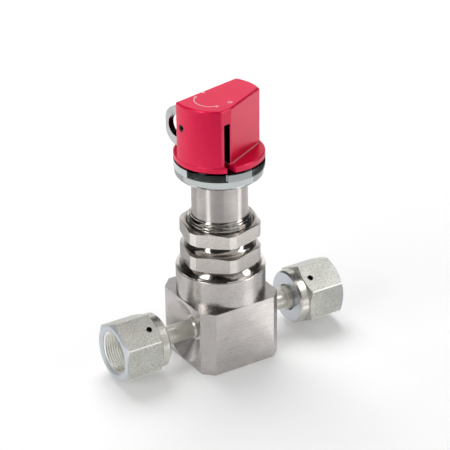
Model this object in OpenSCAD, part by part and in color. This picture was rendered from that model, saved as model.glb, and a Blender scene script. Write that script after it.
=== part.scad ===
// Quarter-turn diaphragm valve for high-purity gas, with a lockable wing handle and two face-seal ports.
// Origin: centre of the block's bottom face. +X points along the port axis to the outlet, +Z up.
// Millimetres. The pieces are drawn closed, with the lock plate pulled out.

/* [Block] */
// Width of the square block, flat to flat
body_w = 30.2; // [30:0.1:34]
// Height of the block
body_h = 23; // [22.8:0.1:26]
// Leg of the chamfer on the block's four upright corners
corner_cut = 3.8; // [2:0.1:4.4]
// Small break on the block's lower edges
edge_break = 0.25; // [0.1:0.05:0.5]
// Diameter of the round boss on the block
boss_d = 30; // [29:0.1:30]
// Height of the boss above the block
boss_h = 10; // [9.6:0.1:13]
// Height of the port axis above the bottom face
port_h = 11.2; // [11.1:0.1:11.6]
// Radius of the turned dish around each port, at the block's face
dish_r = 10.7; // [9:0.1:10.9]
// Depth of that dish
dish_depth = 4.2; // [3:0.1:4.6]
// Radius of the flat at the bottom of the dish
dish_floor_r = 4.4; // [4.2:0.1:5]
// Distance between the two tapped mounting holes in the bottom face
foot_pitch = 19; // [17:0.5:20]
// Radius of those holes, before tapping
foot_hole_r = 2.1; // [1.6:0.05:2.3]
// Depth of those holes
foot_hole_depth = 6; // [4:0.5:6.5]

/* [Flow path] */
// Bore of the tubes and of the block's ports
flow_bore = 4.6; // [3.6:0.1:4.8]
// Depth from the boss rim to the ledge that the diaphragm rests on
bonnet_bore_depth = 13.4; // [13:0.1:14]
// Radius of the chamber under the diaphragm
chamber_r = 8; // [7.7:0.1:8.6]
// Depth of that chamber below the ledge
chamber_depth = 2.4; // [2:0.1:2.6]
// Outer radius of the seat ring
seat_r = 4.2; // [3.8:0.1:4.4]
// Hole radius of the seat ring
seat_hole_r = 2.5; // [2.3:0.1:3]
// Height of the seat ring
seat_h = 2.3; // [2:0.05:2.4]
// Depth of the pocket that holds the seat ring
seat_pocket = 0.8; // [0.5:0.1:1]
// Radius of the riser from the outlet bore to the chamber
riser_r = 1.3; // [0.8:0.1:1.4]
// Thickness of the diaphragm stack
diaphragm_t = 0.4; // [0.2:0.05:0.6]
// Lift of the diaphragm in a quarter turn
lift = 0.9; // [0.4:0.1:1.2]

/* [Bonnet and its nuts] */
// Radius of the bonnet's clamp flange
flange_r = 11; // [10.6:0.1:11.4]
// Thickness of that flange
flange_t = 4; // [3:0.1:5]
// Radius of the nut's thread in the boss
nut_thread_r = 12; // [11.8:0.1:12.6]
// Distance across the flats of the two large nuts
big_flats = 24.8; // [24:0.1:25.6]
// Diameter to which their corners are turned
big_corners = 27.1; // [26.4:0.1:27.8]
// Turn of their flats from the port axis, degrees
big_turn = 46.3; // [0:0.1:60]
// Gap between the boss and the lower nut's hexagon
neck_gap = 2; // [1:0.1:3]
// Height of the lower nut's hexagon
lower_hex_h = 5.5; // [4:0.1:7]
// Radius of the panel thread above it
panel_thread_r = 10.75; // [10.5:0.05:11.2]
// Length of that thread
panel_thread_len = 11.5; // [10:0.1:13]
// Room for a panel between the two hexagons
panel_gap = 3.5; // [2:0.1:4]
// Height of the panel nut
panel_nut_h = 5.05; // [4:0.05:6]
// Radius of the polished sleeve
sleeve_r = 9.35; // [9.2:0.05:9.6]
// Length of the sleeve above the panel thread
sleeve_len = 13.9; // [13:0.1:16]
// Radius of the spigot on top of the sleeve
spigot_r = 8; // [7.8:0.1:8.2]

/* [Stem and lift nut] */
// Radius of the stem
stem_r = 4; // [3.7:0.1:4.1]
// Radius of the stem's end in the handle
stem_end_r = 3; // [2.6:0.1:3.2]
// Radius of the stem's thrust collar
collar_r = 6.2; // [5.4:0.1:6.3]
// Thickness of that collar
collar_t = 3; // [2:0.1:4]
// Thickness of each thrust washer
washer_t = 1.5; // [1:0.1:2]
// Radius of the bonnet's upper bore
upper_bore_r = 6.55; // [6.45:0.05:6.8]
// Radius of the lift nut
lift_nut_r = 6.8; // [6.4:0.1:7]
// Distance across the lift nut's two flats
lift_nut_flats = 11.6; // [10.6:0.1:12]
// Height of the lift nut
lift_nut_h = 14; // [11:0.5:16]
// Radius of the button's head
button_r = 4.5; // [4:0.1:5.2]
// Height of the button's head
button_h = 4.9; // [4:0.1:6]
// Radius of the button's spigot in the lift nut
button_spigot_r = 2.5; // [1.8:0.1:3]
// Thickness of the stem's seal ring
seal_t = 1.44; // [1.2:0.02:1.6]

/* [Index ring] */
// Outer radius of the ring under the handle
ring_r = 15; // [14.8:0.1:15.8]
// Height of the ring
ring_h = 6.3; // [6:0.1:7]
// Height of its upright band
ring_band_h = 2.9; // [2.2:0.1:3.4]
// Distance from the ring's rim to the circle on which the stop pin runs
stop_inset = 3; // [2.6:0.1:3.2]
// Radius of the stop pin
stop_pin_r = 1; // [0.7:0.05:1.05]
// Angle that the handle turns, degrees
quarter = 90; // [60:5:120]

/* [Handle] */
// How far the handle's round foot stands inside the ring's rim
foot_inset = 0.05; // [0.05:0.05:0.5]
// Thickness of that foot
foot_t = 2.05; // [1.6:0.05:2.6]
// How much smaller the wing's radius is than the foot's
foot_ledge = 0.6; // [0.55:0.05:0.8]
// Shift of the wing from the axis towards the plunger's side
wing_shift = 0.5; // [0.2:0.05:0.5]
// Height of the handle over its foot and wing
handle_h = 21.5; // [20.4:0.1:26]
// Turn of the handle from the port axis, degrees
handle_turn = 12.4; // [0:0.1:30]
// Distance from the axis to the wing's rear face
rear_face = 5.1; // [4.4:0.1:5.4]
// Distance from the axis to the wing's front face
front_face = 9.2; // [8.8:0.1:9.6]
// Turn of the front face from the rear face, degrees
front_turn = 15.7; // [14:0.1:18]
// Depth from the wing's round side to the narrow facet that the slot opens in
facet_depth = 3.3; // [3:0.1:3.5]
// Radius of the wing's rounded top edge
top_round = 0.7; // [0.3:0.1:1]

/* [Lock plate] */
// Thickness of the plate
plate_t = 2.2; // [1.8:0.1:2.4]
// Depth of the plate's middle below the wing's round side
plate_inset = 7.65; // [7.2:0.05:7.9]
// Length of the plate
plate_len = 15.2; // [14.8:0.1:15.8]
// Height of the plate
plate_h = 13.85; // [13.4:0.05:14.4]
// How far the plate's outer end stands out beyond the foot's rim
plate_out = 1.25; // [1:0.05:1.8]
// Radius of the plate's outer corners
plate_round = 5.5; // [4:0.1:6]
// Radius of the padlock hole
padlock_r = 3.8; // [3:0.1:4]
// Wall between the padlock hole and the plate's end
padlock_wall = 1.4; // [1:0.1:2]
// Radius of the spring plunger's thread
plunger_r = 1.25; // [1:0.05:1.35]
// Distance from the plate's middle line to the plunger
plunger_off = 2.1; // [1.9:0.1:2.6]
// Height of the plunger above the handle's lower face
plunger_h = 13.4; // [12.8:0.1:13.6]

/* [Face-seal ports] */
// Distance from the block's middle to each sealing face
gland_reach = 35.3; // [34.8:0.1:37]
// Outer diameter of the tube
tube_d = 6.35; // [6:0.05:6.6]
// Diameter of the gland's head
gland_head_d = 11.8; // [11:0.1:12.2]
// Length of the gland's head
gland_head_len = 3.7; // [3:0.1:4.4]
// Length of the shank behind the gland's head
gland_shank_len = 7; // [6:0.1:7.4]
// Radius of that shank
gland_shank_r = 4.2; // [3.8:0.1:4.3]
// Distance across the flats of the port nuts
nut_flats = 19.05; // [18.6:0.05:19.1]
// Turn of the port nuts from corner up, degrees
nut_turn = 3.1; // [0:0.1:30]
// Length of the port nut
nut_len = 17.2; // [16.6:0.1:19]
// Length of the nut's hexagon
nut_hex_len = 13.5; // [12.6:0.1:14.4]
// Radius of the nut's round collar
nut_collar_r = 9.25; // [8.8:0.05:9.4]
// Radius of the nut's hole before threading
nut_thread_hole_r = 6.5; // [6.3:0.05:6.7]
// Depth from the nut's mouth to its inner shoulder
nut_shoulder = 12.3; // [11.6:0.1:12.6]
// Radius of the nut's hole around the tube
nut_back_hole_r = 4.65; // [4.5:0.05:5]
// Radius of the leak-test hole
leak_hole_r = 0.8; // [0.5:0.05:1]
// How far the inlet nut is pushed back from the gland's head
inlet_slack = 1.9; // [0.1:0.1:3]
// How far the outlet nut is pushed back from the gland's head
outlet_slack = 0.1; // [0.1:0.1:3]

/* [Fits] */
// Radial clearance of a shaft that turns or slides
run_fit = 0.05; // [0.02:0.01:0.08]
// Gap between faces that pass each other
pass_gap = 0.25; // [0.2:0.05:0.4]
// Radial gap of pieces that are screwed together
thread_fit = 0.05; // [0.03:0.01:0.08]

/* [Hidden] */
$fn = 96;
EPS = 0.02;

// Heights, from the bottom face upwards
boss_top = body_h + boss_h;
ledge_z = boss_top - bonnet_bore_depth;
chamber_z = ledge_z - chamber_depth;
seat_top = chamber_z - seat_pocket + seat_h;
flange_z = ledge_z + diaphragm_t;
flange_top = flange_z + flange_t;
lower_hex_z = boss_top + neck_gap;
panel_thread_z = lower_hex_z + lower_hex_h;
panel_thread_top = panel_thread_z + panel_thread_len;
panel_nut_z = panel_thread_z + panel_gap;
sleeve_top = panel_thread_top + sleeve_len;
ring_top = sleeve_top + ring_h;
handle_z = ring_top + pass_gap;
wing_top = handle_z + handle_h;

// Sizes that follow the ring
stop_r = ring_r - stop_inset;
foot_r = ring_r - foot_inset;
wing_r = foot_r - foot_ledge;
facet_face = wing_r - facet_depth;
plate_off = wing_r + wing_shift - plate_inset;
plate_reach = foot_r + plate_out;
plate_travel = plate_reach - rear_face;

// Inside of the bonnet
button_z = seat_top + diaphragm_t;
lift_nut_z = button_z + button_h;
lift_nut_floor = 3;
lift_room_top = lift_nut_z + lift_nut_h + lift + 3;
shelf_t = 4;
lower_washer_z = lift_room_top + shelf_t;
collar_z = lower_washer_z + washer_t + run_fit;
upper_washer_z = collar_z + collar_t + run_fit;
bushing_z = upper_washer_z + washer_t;
stem_z = lift_nut_z + lift_nut_floor + lift + 0.3;
stem_top = wing_top - 6;
stem_shoulder = handle_z + 0.1;

// Retaining clip on the spigot
clip_t = 1;
clip_r = 9.6;
clip_groove = 0.5;
clip_z = sleeve_top + 4;
bonnet_top = clip_z + clip_t + 0.4;
bushing_top = bonnet_top - 1.4;
clip_recess_r = 10;

// Lock plate, in the handle's own frame: the plate stands at x = -plate_off and slides along y
slot_w = plate_t + 0.3;
plate_z = handle_z + foot_t + 0.3;
plate_top = plate_z + plate_h;
slot_top = plate_top + 0.15;
plate_tail = plate_reach - plate_len;
tail_foot_len = 3;
padlock_y = plate_reach - padlock_wall - padlock_r;
padlock_z = plate_z + plate_h / 2;
plunger_z = handle_z + plunger_h;
ball_r = 0.75;
ball_gap = 0.1;
plate_face_x = -plate_off - plate_t / 2;
screw_r = 2;
screw_len = 6;
screw_z = handle_z + foot_t + 7;
stem_flat_x = stem_end_r - 0.3;

// Ports
tube_root = body_w / 2 - dish_depth;
gland_back = gland_reach - gland_head_len;
bead_r = 4;
bead_t = 0.55;

steel = "silver";
bright = "gainsboro";
red = "crimson";

// A hexagonal prism with turned corners and both ends chamfered, from z = 0 up
module turned_hex(flats, corners, h, chamfer = 0.25) {
  r = corners / 2;
  inner = flats / 2;
  drop = chamfer * (r - inner + 0.4);
  intersection() {
    cylinder(r = flats / sqrt(3), h = h, $fn = 6);
    rotate_extrude()
      polygon([[0, 0], [inner - 0.4, 0], [r, drop], [r, h - drop], [inner - 0.4, h], [0, h]]);
  }
}

// A ring between two radii, from z = 0 up
module ring(r_out, r_in, h) {
  difference() {
    cylinder(r = r_out, h = h);
    translate([0, 0, -EPS]) cylinder(r = r_in, h = h + 2 * EPS);
  }
}

// Turns a piece that is drawn along +Z from the block's middle so that it lies along the port axis
module along_port(side) {
  translate([0, 0, port_h])
    rotate([0, side * 90, 0])
      children();
}

// Square with cut corners
module cut_square(w, cut) {
  a = w / 2;
  b = a - cut;
  polygon([[a, -b], [a, b], [b, a], [-b, a], [-a, b], [-a, -b], [-b, -a], [b, -a]]);
}

// Block outline seen from the side, with its lower edges broken
module side_outline() {
  a = body_w / 2;
  b = a - edge_break;
  polygon([[-b, 0], [b, 0], [a, edge_break], [a, body_h], [-a, body_h], [-a, edge_break]]);
}

module block() {
  intersection() {
    linear_extrude(body_h) cut_square(body_w, corner_cut);
    rotate([90, 0, 0]) linear_extrude(2 * body_w, center = true) side_outline();
    rotate([90, 0, 90]) linear_extrude(2 * body_w, center = true) side_outline();
  }
}

module boss() {
  rim = 0.5;
  r = boss_d / 2;
  rotate_extrude()
    polygon([[0, body_h - 1], [r, body_h - 1], [r, boss_top - rim], [r - rim, boss_top], [0, boss_top]]);
}

// Flow path: the inlet rises in the middle, the outlet leaves the chamber through a riser
module flow_path() {
  r = flow_bore / 2;
  orifice_r = seat_hole_r - 0.8;
  end_room = 0.4;
  riser_x = (seat_r + chamber_r) / 2;
  along_port(-1) translate([0, 0, -orifice_r - end_room]) cylinder(r = r, h = tube_root + 3);
  translate([0, 0, port_h]) cylinder(r = orifice_r, h = chamber_z - port_h);
  along_port(1) translate([0, 0, riser_x - riser_r - end_room]) cylinder(r = r, h = tube_root);
  translate([riser_x, 0, port_h]) cylinder(r = riser_r, h = chamber_z - port_h + EPS);
}

module valve_body() {
  color(steel)
  difference() {
    union() {
      block();
      boss();
    }
    for (side = [-1, 1])
      along_port(side)
        translate([0, 0, tube_root])
          cylinder(r1 = dish_floor_r, r2 = dish_r + (dish_r - dish_floor_r) / dish_depth, h = dish_depth + 1);
    flow_path();
    translate([0, 0, chamber_z - seat_pocket]) cylinder(r = seat_r + EPS, h = chamber_depth);
    translate([0, 0, chamber_z]) cylinder(r = chamber_r, h = chamber_depth + EPS);
    translate([0, 0, ledge_z]) cylinder(r = flange_r + thread_fit, h = flange_t + diaphragm_t);
    translate([0, 0, flange_top - 0.2]) cylinder(r = nut_thread_r + thread_fit, h = boss_h + flange_t);
    for (y = [-1, 1])
      translate([0, y * foot_pitch / 2, -EPS]) cylinder(r = foot_hole_r, h = foot_hole_depth + EPS);
  }
}

// Welded gland: tube, weld bead at the block, shank with a guide band that the nut turns on, and head
// with a raised sealing bead
module gland() {
  tube_r = tube_d / 2;
  shank_z = gland_back - gland_shank_len;
  guide_z = gland_back - 3.6;
  guide_r = nut_back_hole_r - 2 * run_fit;
  head_r = gland_head_d / 2;
  bore_r = flow_bore / 2;
  weld = 0.45;
  rotate_extrude()
    polygon([
      [bore_r, tube_root], [tube_r + 0.1, tube_root], [tube_r + weld, tube_root + 0.5],
      [tube_r + weld, tube_root + 1], [tube_r, tube_root + 1.5], [tube_r, shank_z],
      [gland_shank_r - 0.3, shank_z], [gland_shank_r, shank_z + 0.3], [gland_shank_r, guide_z],
      [guide_r, guide_z + 0.2], [guide_r, gland_back], [head_r - 0.2, gland_back], [head_r, gland_back + 0.2],
      [head_r, gland_reach - 0.9], [head_r - 0.5, gland_reach - bead_t], [bore_r, gland_reach - bead_t]
    ]);
  translate([0, 0, gland_reach - bead_t])
    intersection() {
      rotate_extrude() translate([bead_r, 0]) circle(r = bead_t);
      translate([0, 0, -EPS]) cylinder(r = head_r, h = bead_t + EPS);
    }
}

module inlet_gland() {
  color(bright) along_port(-1) gland();
}

module outlet_gland() {
  color(bright) along_port(1) gland();
}

// Female nut. Its mouth is at z = 0 and its collar points down to z = -nut_len.
module port_nut() {
  hex_r = nut_flats / sqrt(3);
  mouth = 0.5;
  collar_edge = 0.6;
  thread_len = nut_shoulder - gland_head_len - inlet_slack - 0.3;
  collar_len = nut_len - nut_hex_len - mouth;
  difference() {
    union() {
      translate([0, 0, -mouth - nut_hex_len])
        intersection() {
          cylinder(r = hex_r, h = nut_hex_len + mouth, $fn = 6);
          rotate_extrude()
            polygon([[0, 0], [nut_flats / 2 - 0.2, 0], [hex_r + 0.1, 1], [hex_r + 0.1, nut_hex_len - 0.7],
              [nut_flats / 2 - 0.5, nut_hex_len + mouth], [0, nut_hex_len + mouth]]);
        }
      translate([0, 0, -nut_len])
        rotate_extrude()
          polygon([[0, 0], [nut_collar_r - collar_edge, 0], [nut_collar_r, collar_edge],
            [nut_collar_r, collar_len + 0.2], [0, collar_len + 0.2]]);
    }
    translate([0, 0, -thread_len]) cylinder(r = nut_thread_hole_r, h = thread_len + 1);
    translate([0, 0, -0.9]) cylinder(r1 = nut_thread_hole_r - 0.1, r2 = nut_thread_hole_r + 1, h = 0.91);
    translate([0, 0, -nut_shoulder]) cylinder(r = nut_thread_hole_r + 0.75, h = nut_shoulder - thread_len + EPS);
    translate([0, 0, -nut_len - 1]) cylinder(r = nut_back_hole_r, h = nut_len);
    translate([0, 0, -nut_shoulder + 1.3])
      rotate([0, 0, 30])
        rotate([0, 90, 0])
          cylinder(r = leak_hole_r, h = hex_r);
  }
}

module inlet_nut() {
  mouth_x = gland_back + nut_shoulder - inlet_slack;
  color(bright)
    translate([-mouth_x, 0, port_h])
      rotate([nut_turn, 0, 0])
        mirror([1, 0, 0])
          rotate([0, 90, 0])
            rotate([0, 0, 180])
              port_nut();
}

module outlet_nut() {
  mouth_x = gland_back + nut_shoulder - outlet_slack;
  color(bright)
    translate([mouth_x, 0, port_h])
      rotate([nut_turn, 0, 0])
        rotate([0, 90, 0])
          rotate([0, 0, 180])
            port_nut();
}

module seat_ring() {
  color("ivory")
    translate([0, 0, chamber_z - seat_pocket])
      rotate_extrude()
        polygon([[seat_hole_r, 0], [seat_r, 0], [seat_r, seat_h - 0.6], [seat_r - 0.5, seat_h],
          [seat_hole_r + 0.3, seat_h], [seat_hole_r, seat_h - 0.3]]);
}

// Diaphragm pressed on the seat: a flat middle, a sloping web and a clamped rim
module diaphragm() {
  color("lightsteelblue")
    rotate_extrude()
      polygon([[0, seat_top], [seat_r, seat_top], [chamber_r - 0.2, ledge_z], [flange_r, ledge_z],
        [flange_r, ledge_z + diaphragm_t], [chamber_r - 0.2, ledge_z + diaphragm_t],
        [seat_r, seat_top + diaphragm_t], [0, seat_top + diaphragm_t]]);
}

// Round bar with two flats, from z = 0 up
module keyed_bar(r, flats, h) {
  intersection() {
    cylinder(r = r, h = h);
    translate([-r, -flats / 2, 0]) cube([2 * r, flats, h]);
  }
}

module bonnet() {
  groove_z = clip_z - run_fit;
  color(bright)
  difference() {
    rotate_extrude()
      polygon([
        [0, flange_z], [flange_r, flange_z], [flange_r, flange_top], [sleeve_r, flange_top],
        [sleeve_r, sleeve_top - 0.3], [sleeve_r - 0.3, sleeve_top], [spigot_r, sleeve_top],
        [spigot_r, groove_z], [spigot_r - clip_groove, groove_z],
        [spigot_r - clip_groove, groove_z + clip_t + 2 * run_fit], [spigot_r, groove_z + clip_t + 2 * run_fit],
        [spigot_r, bonnet_top - 0.2], [spigot_r - 0.2, bonnet_top], [0, bonnet_top]
      ]);
    translate([0, 0, flange_z - EPS])
      keyed_bar(lift_nut_r + 2 * run_fit, lift_nut_flats + 4 * run_fit, lift_room_top - flange_z + EPS);
    translate([0, 0, flange_z - EPS]) cylinder(r1 = chamber_r, r2 = lift_nut_r - 1, h = 1.4);
    translate([0, 0, lift_room_top - 1]) cylinder(r = stem_r + 0.3, h = shelf_t + 2);
    translate([0, 0, lower_washer_z]) cylinder(r = upper_bore_r, h = bonnet_top);
  }
}

// Clamps the bonnet in the boss, and carries the panel thread
module bonnet_nut() {
  color(steel)
  difference() {
    union() {
      translate([0, 0, flange_top]) cylinder(r = nut_thread_r, h = lower_hex_z - flange_top + 1);
      translate([0, 0, lower_hex_z]) rotate([0, 0, big_turn + 30])
        turned_hex(big_flats, big_corners, lower_hex_h);
      rotate_extrude()
        polygon([[0, lower_hex_z], [panel_thread_r, lower_hex_z], [panel_thread_r, panel_thread_top - 0.6],
          [panel_thread_r - 0.6, panel_thread_top], [0, panel_thread_top]]);
    }
    translate([0, 0, flange_top - 1]) cylinder(r = sleeve_r + 2 * thread_fit, h = panel_thread_top);
  }
}

module panel_nut() {
  color(steel)
    translate([0, 0, panel_nut_z])
      difference() {
        rotate([0, 0, big_turn + 30]) turned_hex(big_flats, big_corners, panel_nut_h);
        translate([0, 0, -1]) cylinder(r = panel_thread_r + thread_fit, h = panel_nut_h + 2);
        translate([0, 0, panel_nut_h - 0.5])
          cylinder(r1 = panel_thread_r, r2 = panel_thread_r + 0.7, h = 0.51);
      }
}

// Nut that can't turn, and rises on the stem's steep thread
module lift_nut() {
  color("goldenrod")
    translate([0, 0, lift_nut_z])
      difference() {
        keyed_bar(lift_nut_r, lift_nut_flats, lift_nut_h);
        translate([0, 0, -1]) cylinder(r = button_spigot_r, h = lift_nut_h);
        translate([0, 0, lift_nut_floor]) cylinder(r = stem_r + run_fit, h = lift_nut_h);
      }
}

module button() {
  crown = 24;
  color(steel) {
    intersection() {
      translate([0, 0, button_z]) cylinder(r = button_r, h = button_h);
      translate([0, 0, button_z + crown]) sphere(r = crown);
    }
    translate([0, 0, lift_nut_z - EPS]) cylinder(r = button_spigot_r, h = lift_nut_floor - 0.4);
  }
}

module stem() {
  bottom_cut = 0.6;
  color(steel)
  difference() {
    rotate_extrude()
      polygon([
        [0, stem_z], [stem_r - bottom_cut, stem_z], [stem_r, stem_z + bottom_cut], [stem_r, collar_z],
        [collar_r, collar_z], [collar_r, collar_z + collar_t], [stem_r, collar_z + collar_t],
        [stem_r, stem_shoulder - pass_gap], [stem_end_r, stem_shoulder - pass_gap],
        [stem_end_r, stem_top - bottom_cut], [stem_end_r - bottom_cut, stem_top], [0, stem_top]
      ]);
    in_handle_frame()
      translate([stem_flat_x, -stem_r, screw_z - 3]) cube([stem_r, 2 * stem_r, stem_top]);
  }
}

module lower_thrust_washer() {
  color("tan")
    translate([0, 0, lower_washer_z]) ring(upper_bore_r - run_fit, stem_r + run_fit, washer_t);
}

module upper_thrust_washer() {
  color("tan")
    translate([0, 0, upper_washer_z]) ring(upper_bore_r - run_fit, stem_r + run_fit, washer_t);
}

seal_groove_r = stem_r + run_fit + seal_t + 0.06;
seal_z = (bushing_z + bushing_top) / 2;

module stem_bushing() {
  spanner_r = 0.6;
  color("peru")
  difference() {
    translate([0, 0, bushing_z]) cylinder(r = upper_bore_r - thread_fit, h = bushing_top - bushing_z);
    translate([0, 0, bushing_z - 1]) cylinder(r = stem_r + run_fit, h = bushing_top);
    translate([0, 0, seal_z - seal_t / 2 - 0.1]) cylinder(r = seal_groove_r, h = seal_t + 0.2);
    for (side = [-1, 1])
      translate([side * (stem_r + upper_bore_r) / 2, 0, bushing_top - 1.5]) cylinder(r = spanner_r, h = 2);
  }
}

module stem_seal() {
  color("dimgray")
    translate([0, 0, seal_z])
      rotate_extrude()
        translate([seal_groove_r - seal_t / 2 - 0.02, 0])
          circle(r = seal_t / 2);
}

// Outline of the index ring: an upright band, a slight taper and a rounded lower edge
module ring_outline() {
  taper = 0.25;
  round_r = 1.7;
  band_z = ring_h - ring_band_h;
  low_r = ring_r - taper;
  difference() {
    polygon(concat(
      [[spigot_r + thread_fit, 0], [low_r - round_r, 0]],
      [for (a = [-75:15:0]) [low_r - round_r + round_r * cos(a), round_r + round_r * sin(a)]],
      [[ring_r, band_z], [ring_r, ring_h - 0.15], [ring_r - 0.15, ring_h], [spigot_r + thread_fit, ring_h]]
    ));
    translate([0, clip_z - sleeve_top - run_fit]) square([clip_recess_r, ring_h]);
  }
}

module index_ring() {
  groove_w = 2 * stop_pin_r + 0.4;
  groove_depth = 1.9;
  mark_w = 0.6;
  mark_depth = 0.5;
  mark_turn = -112.4;
  color(bright)
  translate([0, 0, sleeve_top])
  difference() {
    rotate_extrude() ring_outline();
    translate([0, 0, ring_h - groove_depth]) {
      rotate([0, 0, handle_turn])
        rotate_extrude(angle = quarter)
          translate([stop_r - groove_w / 2, 0]) square([groove_w, groove_depth + 1]);
      for (a = [handle_turn, handle_turn + quarter])
        rotate([0, 0, a]) translate([stop_r, 0, 0]) cylinder(r = groove_w / 2, h = groove_depth + 1);
    }
    rotate([0, 0, mark_turn])
      translate([ring_r - mark_depth, -mark_w / 2, ring_h - ring_band_h])
        cube([mark_depth + 1, mark_w, ring_band_h + 1]);
  }
}

// Open retaining clip in the spigot's groove
module ring_clip() {
  color("gray")
    translate([0, 0, clip_z])
      difference() {
        ring(clip_r, spigot_r - clip_groove + run_fit, clip_t);
        translate([0, -1.2, -1]) cube([clip_r + 1, 2.4, clip_t + 2]);
      }
}

// The handle's own frame: x along the wing's rear face, y towards the lock plate's outer end
module in_handle_frame() {
  rotate([0, 0, handle_turn])
    children();
}

// Half space on the axis side of a face, with the face's top edge rounded
module face_half(turn, distance) {
  depth = 40;
  z_low = handle_z - 1;
  rotate([0, 0, turn])
    rotate([90, 0, 0])
      linear_extrude(80, center = true) {
        polygon([[-depth, z_low], [distance, z_low], [distance, wing_top - top_round],
          [distance - top_round, wing_top - top_round], [distance - top_round, wing_top], [-depth, wing_top]]);
        translate([distance - top_round, wing_top - top_round]) circle(r = top_round);
      }
}

// The wing's round side, a little off the axis
module wing_round() {
  translate([-wing_shift, 0, 0])
    rotate_extrude() {
      polygon([[0, handle_z], [wing_r, handle_z], [wing_r, wing_top - top_round],
        [wing_r - top_round, wing_top - top_round], [wing_r - top_round, wing_top], [0, wing_top]]);
      intersection() {
        translate([wing_r - top_round, wing_top - top_round]) circle(r = top_round);
        translate([0, handle_z]) square([wing_r, handle_h]);
      }
    }
}

module wing() {
  intersection() {
    wing_round();
    face_half(90, rear_face);
    face_half(front_turn - 90, front_face);
    face_half(-90, facet_face);
  }
}

module foot() {
  rim = 0.35;
  rotate_extrude()
    polygon([[0, handle_z], [foot_r - 0.15, handle_z], [foot_r, handle_z + 0.15],
      [foot_r, handle_z + foot_t - rim], [foot_r - rim, handle_z + foot_t], [0, handle_z + foot_t]]);
}

// Small cove between the foot and one face of the wing, from one place along the face to another
module cove(turn, distance, start, end) {
  leg = 0.5;
  top = handle_z + foot_t;
  rotate([0, 0, turn])
    rotate([90, 0, 0])
      translate([0, 0, -end])
        linear_extrude(end - start)
        difference() {
          translate([distance - 0.5, top - 0.2]) square([leg + 0.5, leg + 0.2]);
          translate([distance + leg, top + leg]) circle(r = leg);
        }
}

module handle() {
  plunger_mouth = -wing_r - wing_shift - 1;
  rear_half = sqrt(wing_r * wing_r - rear_face * rear_face) - 1.5;
  front_half = sqrt(wing_r * wing_r - front_face * front_face) - 1;
  front_start = (front_face * cos(front_turn) - facet_face) / sin(front_turn) + 0.3;
  color(red)
  in_handle_frame()
  difference() {
    union() {
      wing();
      foot();
      cove(90, rear_face, -rear_half, rear_half);
      cove(front_turn - 90, front_face, front_start, front_half);
    }
    translate([0, 0, handle_z - 1]) cylinder(r = stem_end_r + thread_fit, h = stem_top - handle_z + 1.3);
    translate([-plate_off - slot_w / 2, -foot_r - 1, plate_z - 0.3])
      cube([slot_w, 2 * foot_r + 2, slot_top - plate_z + 0.3]);
    translate([-plate_off - slot_w / 2, -foot_r - 1, handle_z - 1])
      cube([slot_w, foot_r + 1 + plate_tail + tail_foot_len + 0.3, foot_t + 1.5]);
    translate([stop_r, 0, handle_z - EPS]) cylinder(r = stop_pin_r, h = foot_t);
    translate([plunger_mouth, plunger_off, plunger_z])
      rotate([0, 90, 0]) cylinder(r = plunger_r, h = -plate_off - plunger_mouth);
    translate([0, 0, screw_z]) rotate([0, 90, 0]) cylinder(r = screw_r, h = wing_r + 1);
  }
}

module stop_pin() {
  color(steel)
    in_handle_frame()
      translate([stop_r, 0, ring_top - 1.5])
        cylinder(r = stop_pin_r, h = 1.5 + pass_gap + foot_t - 0.2);
}

// Headless screw along +X with a hexagon socket at its far end
module socket_screw(r, len, socket) {
  rotate([0, 90, 0])
    difference() {
      rotate_extrude()
        polygon([[0, 0], [r - 0.3, 0], [r, 0.3], [r, len - 0.2], [r - 0.2, len], [0, len]]);
      translate([0, 0, len - 1.6]) cylinder(r = socket / sqrt(3), h = 2, $fn = 6);
    }
}

module handle_set_screw() {
  color("dimgray")
    in_handle_frame()
      translate([stem_flat_x, 0, screw_z])
        socket_screw(screw_r, screw_len, 2);
}

// Drawn in the y-z plane of the handle's frame, pulled out
module plate_outline() {
  straight = plate_reach - plate_round;
  difference() {
    union() {
      translate([plate_tail, plate_z]) square([straight - plate_tail, plate_h]);
      translate([straight - EPS, plate_z + plate_round]) square([plate_round + EPS, plate_h - 2 * plate_round]);
      for (z = [plate_z + plate_round, plate_top - plate_round])
        translate([straight, z]) circle(r = plate_round);
      translate([plate_tail, handle_z + 0.3]) square([tail_foot_len, foot_t + 0.5]);
    }
    translate([padlock_y, padlock_z]) circle(r = padlock_r);
  }
}

module lock_plate() {
  dimple_depth = 0.25;
  color("lightgray")
  in_handle_frame()
  difference() {
    translate([-plate_off, 0, 0])
      rotate([90, 0, 90])
        linear_extrude(plate_t, center = true)
          plate_outline();
    for (y = [plunger_off, plunger_off + plate_travel])
      translate([plate_face_x + dimple_depth - 0.9, y, plunger_z]) sphere(r = 0.9);
  }
}

module plate_plunger() {
  inner_x = plate_face_x - 0.5;
  outer_x = -wing_shift - sqrt(wing_r * wing_r - plunger_off * plunger_off) + 0.3;
  color("dimgray")
    in_handle_frame()
      translate([inner_x, plunger_off, plunger_z])
        mirror([1, 0, 0])
          difference() {
            socket_screw(plunger_r, inner_x - outer_x, 1.3);
            translate([-1, 0, 0]) rotate([0, 90, 0]) cylinder(r = ball_r + run_fit, h = 2.4);
          }
}

module plunger_ball() {
  color(bright)
    in_handle_frame()
      translate([plate_face_x - ball_gap - ball_r, plunger_off, plunger_z]) sphere(r = ball_r);
}

valve_body();
inlet_gland();
outlet_gland();
inlet_nut();
outlet_nut();
seat_ring();
diaphragm();
bonnet();
bonnet_nut();
panel_nut();
lift_nut();
button();
stem();
lower_thrust_washer();
upper_thrust_washer();
stem_bushing();
stem_seal();
index_ring();
ring_clip();
stop_pin();
handle();
handle_set_screw();
lock_plate();
plate_plunger();
plunger_ball();
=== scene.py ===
import math

import bmesh
import bpy
from mathutils import Matrix, Vector


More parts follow.
